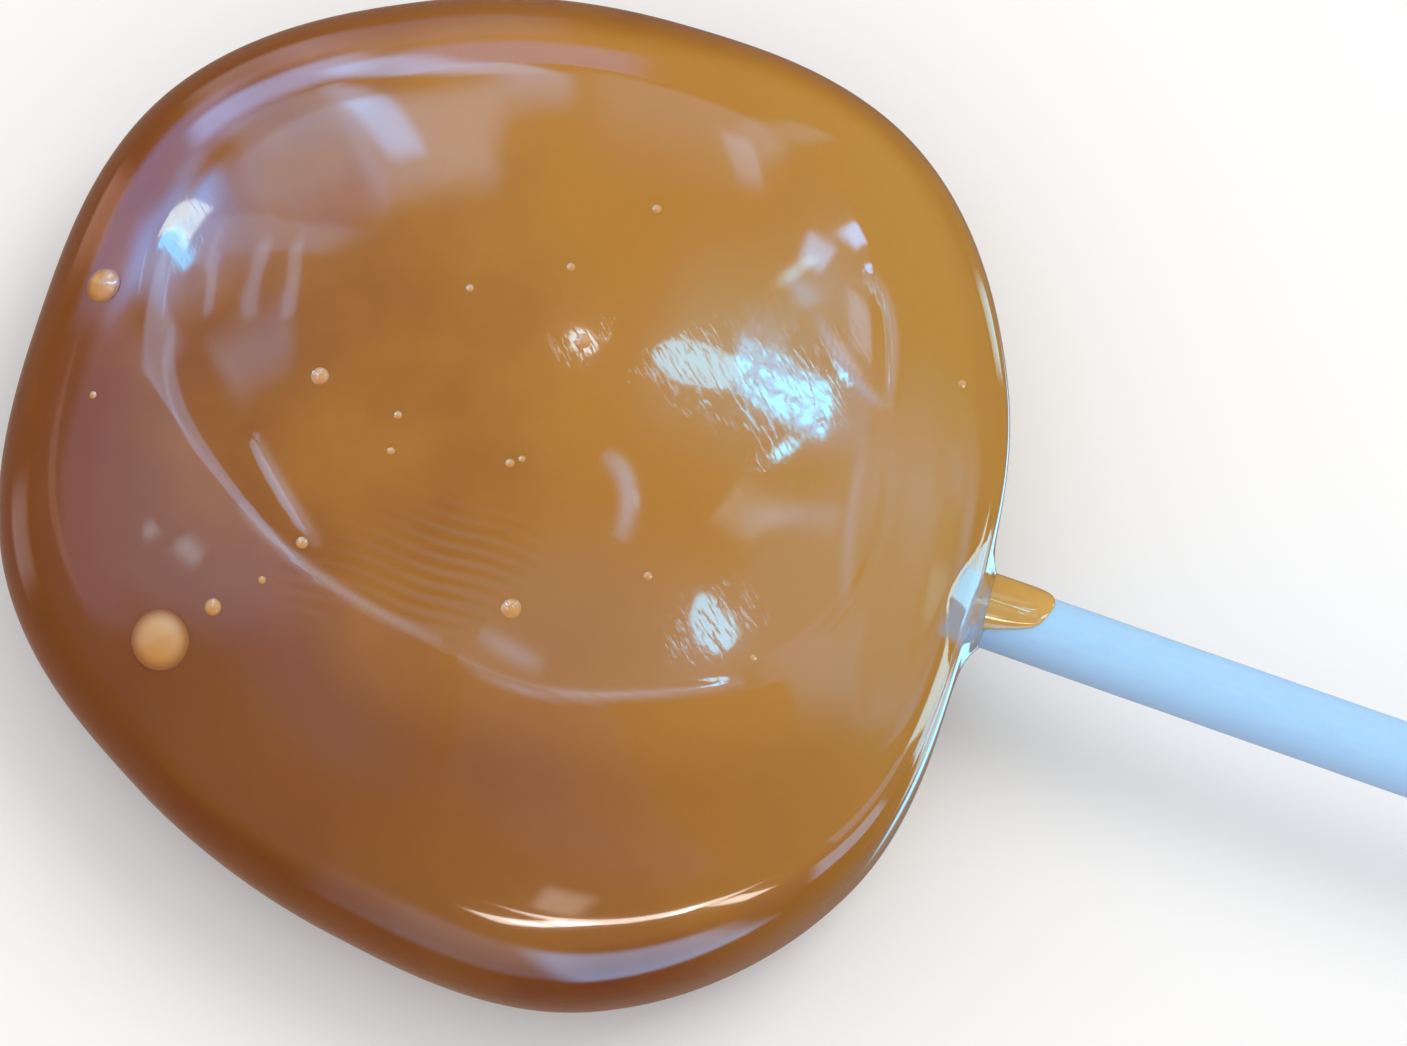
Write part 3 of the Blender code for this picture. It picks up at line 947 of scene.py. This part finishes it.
# %% [markdown]
# ## Floor and light
#
# A gloss is only as good as what it mirrors, and a room that is the same all round makes it look like
# plastic in fog. So two kinds of light are kept apart. The sky and the key light are soft, and light the
# caramel itself, but aren't mirrored. The soft boxes are mirrored only: each is placed by its reflection,
# from four pixels at the ends of a highlight. The ray through each is turned back by the skin there, and
# the box spans the four places where those rays arrive. Its brightness is what a perfect mirror would
# show. The coat sends back a twenty-fifth of it, so 12.5 adds half of full white to the caramel's own tint.

# %% Floor
FLOOR_SIZE, FLOOR_TINT = 4.0, (0.86, 0.86, 0.86, 1.0)  # metres
bpy.ops.mesh.primitive_plane_add(size=FLOOR_SIZE, location=(0, 0, 0))
floor = bpy.context.object
floor.name = "floor"
paint, _, shader = new_material("floor_paint")
set_inputs(shader, Base_Color=FLOOR_TINT, Roughness=0.9, Specular_IOR_Level=0.1)
floor.data.materials.append(paint)
floor.visible_glossy = False

# %% [markdown]
# The room that the caramel mirrors is drawn in the world's own nodes, for mirrored rays alone. Its cards of
# light are soft rectangles given in degrees: how far round from the photo's right, and how high. A slant
# leans a card sideways, by so many degrees round for each degree up.

# %% Cards of light in the room
BLUE, LAVENDER, PALE_BLUE = (0.16, 0.52, 1.0), (0.28, 0.60, 1.0), (0.30, 0.80, 1.0)
CREAM, ICE = (1.0, 0.94, 0.88), (0.03, 0.64, 1.0)
CARDS = {  # name: (round, up), (half width, half height), slant, soft edge, tint, brightness
    "top strip": ((115, 29), (11, 5.5), 0.0, 5.0, (0.22, 0.50, 1.0), 6.5),
    "top strip right": ((99.5, 41), (3.4, 12), -0.42, 3.5, BLUE, 6.5),
    "top pillar": ((100, 12), (11, 12), 0.0, 8.0, (0.1, 0.3, 1.0), 0.8),
    "top strip far": ((92, 36), (10, 9), 0.0, 5.0, (0.0, 0.25, 1.0), 2.6),
    "top left haze": ((114, 8), (9, 11), 0.0, 8.0, (1.0, 0.9, 1.0), 1.0),
    "top edge": ((92.5, 54.5), (3.5, 1.8), 0.0, 3.0, BLUE, 4.0),
    "smudge": ((102, 57.6), (6, 2.9), 0.0, 2.4, LAVENDER, 3.1),
    "smudge middle": ((112.5, 56.0), (5.5, 2.4), 0.0, 2.4, LAVENDER, 2.2),
    "smudge low": ((111, 59.3), (4.5, 1.5), 0.0, 2.0, (0.0, 0.3, 1.0), 1.6),
    "smudge left": ((113.5, 46), (6, 10), -0.3, 5.0, LAVENDER, 2.8),
    "bar": ((105, 56), (1.6, 2.2), -0.6, 1.6, BLUE, 8.5),
    "bar stem": ((107.3, 46), (1.3, 9), -0.05, 2.4, LAVENDER, 4.5),
    "comb": ((118.5, 59.2), (2.6, 2.2), -3.2, 1.4, LAVENDER, 2.0),
    "lamp left": ((129.1, 50.2), (1.9, 6.2), -0.8, 0.5, (0.85, 1.0, 0.82), 10.5),
    "lamp left edge": ((130.4, 51.8), (1.1, 5.8), -0.8, 0.8, (0.0, 0.55, 1.0), 18.0),
    "shoulder veil": ((134, 27), (17, 13), 0.0, 10.0, (0.18, 0.40, 1.0), 2.6),
    "rim left": ((143, 2), (5, 14), 0.0, 6.0, (1.0, 0.6, 0.5), 1.3),
    "rim far left": ((176, -6), (8, 12), 0.0, 8.0, (1.0, 0.9, 1.0), 0.9),
    "lamp left halo": ((133, 47.5), (7.5, 10), -0.8, 8.0, (0.03, 0.40, 1.0), 7.0),
    "lamp left glow": ((123.5, 54), (2, 3.5), -0.3, 4.0, (0.0, 0.35, 1.0), 5.5),
    "left haze": ((140, 37), (3, 5), 0.0, 6.0, (0.0, 0.33, 1.0), 2.5),
    "left haze high": ((129, 40), (3, 4), 0.0, 6.0, (0.0, 0.42, 1.0), 3.0),
    "blob": ((125.3, 63.9), (5.0, 1.4), 1.0, 2.6, LAVENDER, 2.7),
    "crease high": ((157, 65), (17, 5.5), 1.6, 2.0, LAVENDER, 3.2),
    "crease low": ((143.5, 55.5), (12.5, 5.5), 0.0, 3.0, LAVENDER, 3.2),
    "flank": ((168, 62), (18, 12), 0.0, 14.0, (0.42, 0.66, 1.0), 1.3),
    "flank low": ((170, 42), (22, 8), 0.0, 9.0, (0.45, 0.5, 1.0), 0.9),
    "flank line": ((171, 29), (5, 6), 2.0, 5.0, (0.9, 0.6, 0.55), 0.9),
    "oval": ((58.8, 56.8), (1.6, 2.2), 1.2, 1.0, BLUE, 18.0),
    "oval near": ((64, 60.8), (1.7, 1.0), 0.0, 0.8, BLUE, 11.0),
    "fleck": ((65.3, 62.3), (0.8, 1.3), 0.8, 0.8, PALE_BLUE, 6.0),
    "leaf": ((56.5, 63.0), (1.6, 1.3), -1.0, 0.6, LAVENDER, 4.5),
    "leaf halo": ((62.5, 63.4), (1.6, 0.5), 0.0, 1.8, (0.0, 0.5, 1.0), 3.5),
    "leaf veil": ((60.5, 62.3), (4.5, 1.8), 0.0, 5.0, (0.0, 0.5, 1.0), 2.2),
    "leaf side veil": ((53.5, 67), (3, 2), 0.0, 4.0, (0.0, 0.4, 1.0), 2.4),
    "top smudge": ((74.5, 57.5), (1.6, 1.3), -1.0, 1.2, LAVENDER, 3.4),
    "top smudge tail": ((69.5, 47), (2.5, 10), 0.43, 3.0, LAVENDER, 1.6),
    "top veil": ((79, 54), (8, 4), 0.0, 5.0, LAVENDER, 1.4),
    "haze": ((53, 74), (5, 1.6), 0.0, 2.0, PALE_BLUE, 2.2),
    "right haze": ((44, 66), (6, 5), 0.0, 8.0, BLUE, 1.4),
    "sky": ((40, 62), (400, 46), 0.0, 24.0, (0.10, 0.30, 1.0), 0.22),
    "zenith": ((110, 85), (75, 6), 0.0, 6.0, LAVENDER, 0.9),
    "low veil": ((-118, 80), (40, 2), 0.0, 20.0, (0.1, 0.2, 1.0), 0.7),
    "low veil left": ((198, 68), (18, 3), 0.0, 20.0, (0.1, 0.2, 1.0), 0.8),
    "low haze right": ((38, 74), (9, 8), 0.0, 6.0, (0.05, 0.45, 0.8), 1.3),
    "low haze far right": ((20, 76), (10, 3), 0.0, 5.0, (0.0, 0.5, 1.0), 2.0),
    "streak left": ((-110.5, 52), (3.6, 5.2), 1.6, 1.4, CREAM, 13.0),
    "streak": ((-92, 59.8), (8, 3.6), 5.0, 1.8, CREAM, 14.0),
    "streak right": ((-71, 56.5), (4, 4.0), -1.2, 1.5, CREAM, 13.0),
    "streak bead left": ((-111, 51.5), (1.6, 1.6), 2.0, 1.6, CREAM, 22.0),
    "streak bead": ((-103, 56.0), (2.0, 1.5), 2.0, 1.6, CREAM, 26.0),
    "streak bead right": ((-84, 60.8), (2.2, 1.3), 2.0, 1.4, CREAM, 24.0),
    "streak patch": ((-108, 65.0), (5, 4.4), 0.0, 4.0, CREAM, 3.0),
    "low band": ((-84, 9), (17, 22), -0.3, 10.0, LAVENDER, 5.5),
    "low band left": ((-112, 12), (16, 20), 0.0, 10.0, LAVENDER, 1.2),
    "corner": ((-30, 62), (16, 5), 0.0, 2.0, LAVENDER, 2.0),
    "corner low": ((-41.5, 32), (11, 15), 0.0, 4.0, LAVENDER, 4.6),
    "sliver": ((31, -14), (4, 16), 0.0, 4.0, PALE_BLUE, 4.0),
    "side high": ((-1, 45), (12, 17), 0.0, 3.0, (0.40, 0.85, 1.0), 10.0),
    "side": ((-10, 8), (8.5, 20), 0.0, 2.0, (0.28, 0.82, 1.15), 8.5),
    "side bottom": ((-5, -22), (9, 11), 0.0, 3.0, (0.22, 0.75, 1.15), 6.5),
    "side low": ((-4, -45), (10, 12), 0.0, 5.0, PALE_BLUE, 2.0),
    "side lowest": ((22, -67), (22, 8), 0.0, 5.0, (0.25, 0.8, 1.2), 1.7),
    "ground": ((40, -60), (400, 50), 0.0, 30.0, (1.0, 0.58, 0.34), 0.22),
    "hook": ((55.3, 70.3), (0.6, 0.7), 0.0, 0.4, ICE, 34.0),
    "window right": ((61.0, 67.8), (6.3, 1.3), -1.2, 0.4, ICE, 42.0),
    "window ground": ((61.0, 67.8), (6.2, 1.2), -1.2, 0.6, (0.0, 0.35, 1.0), 7.0),
    "window halo": ((65, 66.3), (3.0, 0.7), -1.2, 2.6, (0.0, 0.5, 1.0), 4.0),
    "window veil": ((68, 67.2), (9, 3.5), 0.0, 8.0, (0.0, 0.9, 1.0), 1.05),
}
TEETH = {  # name: (round, up)
    "tooth far left": (141, 43),
    "tooth 1": (131, 56),
    "tooth 2": (124.3, 59.4),
    "tooth 3": (121, 60.8),
    "tooth 4": (117.8, 61.7),
}
CARDS.update({name: (spot, (0.8, 1.4), 1.4, 0.6, LAVENDER, 3.8) for name, spot in TEETH.items()})
SPECKLED = {"window right"}
ROOM_TINT = (0.05, 0.05, 0.06)

# %% Light of one card
SEAM_OF_SKY, FULL_TURN = -140.0, 360.0  # degrees round run on from this angle, which only faint cards cross


def round_and_up(tree):
    """Where a ray of the world goes, in degrees round from the photo's right and up from level."""
    way = turned(tree, add_node(tree, "ShaderNodeTexCoord").outputs["Generated"], -VIEW_ROLL)
    split = add_node(tree, "ShaderNodeSeparateXYZ", {"Vector": way}).outputs
    turn = maths(tree, "DEGREES", maths(tree, "ARCTAN2", split["Y"], split["X"]))
    past = maths(tree, "MULTIPLY", maths(tree, "LESS_THAN", turn, SEAM_OF_SKY), FULL_TURN)
    return maths(tree, "ADD", turn, past), maths(tree, "DEGREES", maths(tree, "ARCSINE", split["Z"]))


def card_light(tree, turn, up, spot, half, slant, soft, tint, brightness):
    """Colour that one card adds for a ray."""
    above = maths(tree, "SUBTRACT", up, spot[1])
    lean = maths(tree, "MULTIPLY", above, slant)
    aside = maths(tree, "SUBTRACT", maths(tree, "SUBTRACT", turn, spot[0]), lean)
    falls = [
        ramp(tree, maths(tree, "ABSOLUTE", away), reach + soft / 2, reach - soft / 2)
        for away, reach in zip((aside, above), half)
    ]
    light = [part * brightness for part in tint]
    return scaled(tree, light, maths(tree, "MULTIPLY", *falls))


# %% Flecks, and all the cards together
FLECK_SQUEEZE, FLECK_SCALE = 3.0, 1.15  # a degree up is about three round, up there
BAND_STRETCH, BAND_TURN, BAND_SHARE = (0.10, 0.6, 1.0), 0.1, 0.7
FLECK_RANGE = (0.78, 1.0)


def speckles(tree, turn, up):
    """Bright flecks with long, nearly level darker bands, as light through leaves has."""
    inputs = {"X": turn, "Y": maths(tree, "MULTIPLY", up, FLECK_SQUEEZE)}
    place = add_node(tree, "ShaderNodeCombineXYZ", inputs).outputs[0]
    inputs = {"Vector": place, "Scale": BAND_STRETCH, "Rotation": (0, 0, BAND_TURN)}
    bands = noise(tree, add_node(tree, "ShaderNodeMapping", inputs).outputs[0], 1.0)
    darker = maths(tree, "MULTIPLY", bands, BAND_SHARE)
    return ramp(tree, maths(tree, "ADD", noise(tree, place, FLECK_SCALE, detail=1.0), darker), *FLECK_RANGE)


def mirrored_room(tree):
    """The sum of all cards of light, over a dim room."""
    turn, up = round_and_up(tree)
    total = add_node(tree, "ShaderNodeCombineXYZ", dict(zip("XYZ", ROOM_TINT))).outputs[0]
    glitter = speckles(tree, turn, up)
    for name, numbers in CARDS.items():
        light = card_light(tree, turn, up, *numbers)
        if name in SPECKLED:
            light = scaled(tree, light, glitter)
        total = add_node(tree, "ShaderNodeVectorMath", {0: total, 1: light}, operation="ADD").outputs[0]
    return total


# %% World
SKY_TINT, SKY_STRENGTH = (1.0, 0.99, 0.98, 1.0), 0.95
scene = bpy.context.scene
scene.view_settings.view_transform = "Standard"
scene.world = bpy.data.worlds.new("studio")
scene.world.use_nodes = True
sky = scene.world.node_tree
plain = sky.nodes["Background"]
plain.inputs["Color"].default_value = SKY_TINT
plain.inputs["Strength"].default_value = SKY_STRENGTH
room = add_node(sky, "ShaderNodeBackground", {"Color": mirrored_room(sky)})
is_mirrored = add_node(sky, "ShaderNodeLightPath").outputs["Is Glossy Ray"]
seen = add_node(sky, "ShaderNodeMixShader", {0: is_mirrored, 1: plain.outputs[0], 2: room.outputs[0]})
sky.links.new(seen.outputs[0], sky.nodes["World Output"].inputs["Surface"])
print("cards of light:", len(CARDS), "nodes in the world:", len(sky.nodes))


# %% Lamp helpers
MIRROR_DISTANCE = 0.8  # metres
MIRROR_BLUR = 12  # pixels round a place over which the skin's normal is averaged


def area_light(name, place, axes, size, color, brightness, shape="RECTANGLE"):
    """Lamp at a place in metres, its sides along two axes and facing along their cross product."""
    lamp = bpy.data.lights.new(name, "AREA")
    lamp.shape = shape
    lamp.size, lamp.size_y = size
    lamp.color = color
    lamp.energy = brightness * pi * size[0] * size[1]
    right, up = Vector(axes[0]).normalized(), Vector(axes[1])
    up = (up - right * up.dot(right)).normalized()
    facing = Matrix((right, up, right.cross(up))).transposed().to_4x4()
    thing = bpy.data.objects.new(name, lamp)
    thing.matrix_world = Matrix.Translation(place) @ facing
    thing.visible_camera = False
    scene.collection.objects.link(thing)
    return thing


def mirror_spot(pixel):
    """Where the ray through a pixel arrives after the skin has turned it back."""
    steps = (-MIRROR_BLUR, 0, MIRROR_BLUR)
    near = [(pixel[0] + dx, pixel[1] + dy) for dx in steps for dy in steps]
    found = [seen_at(skin_tree, spot) for spot in near]
    normal = sum((facing for point, facing in found if point), Vector()).normalized()
    point, _ = seen_at(skin_tree, pixel)
    return point + Vector(pixel_ray(pixel)).reflect(normal) * MIRROR_DISTANCE


def soft_box(name, left, right, top, bottom, color, brightness):
    """Oval lamp whose mirror image in the skin spans four pixels of the photo."""
    ends = [mirror_spot(pixel) for pixel in (left, right, top, bottom)]
    middle = sum(ends, Vector()) / 4
    across, along = ends[1] - ends[0], ends[2] - ends[3]
    if across.cross(along).dot(middle) < 0:
        across = -across
    size = (across.length, along.length)
    lamp = area_light(name, middle, (across, along), size, color, brightness, "ELLIPSE")
    lamp.visible_diffuse = False
    print(name, "at", [round(part, 2) for part in middle], "size", [round(part, 3) for part in size])


# %% Soft light
KEY_SIZE, KEY_TINT, KEY_BRIGHTNESS = (0.45, 0.45), (1.0, 0.98, 0.96), 4.1
KEY_TURN, KEY_RISE, KEY_DISTANCE = radians(35), radians(50), 0.9  # its distance and its size in metres
level = Vector(view_right) * cos(KEY_TURN) + Vector(level_up) * sin(KEY_TURN)
place = (level * cos(KEY_RISE) + Vector((0, 0, sin(KEY_RISE)))) * KEY_DISTANCE
side = Vector((0, 0, 1)).cross(level)
key = area_light("key", place, (side, place.cross(side)), KEY_SIZE, KEY_TINT, KEY_BRIGHTNESS)
key.visible_glossy = False

# %% Mirrored lamps
MIRRORED_SKY, MIRRORED_SPOT = (0.14, 0.67, 1.0), (0.60, 0.85, 1.0)
soft_box("window_left", (655, 352), (745, 378), (705, 345), (700, 385), MIRRORED_SKY, 12.5)
soft_box("lamp_oval", (692, 627), (736, 627), (714, 600), (712, 655), MIRRORED_SKY, 14.0)
soft_box("lamp_spot", (570, 335), (597, 348), (587, 330), (580, 352), MIRRORED_SPOT, 14.5)
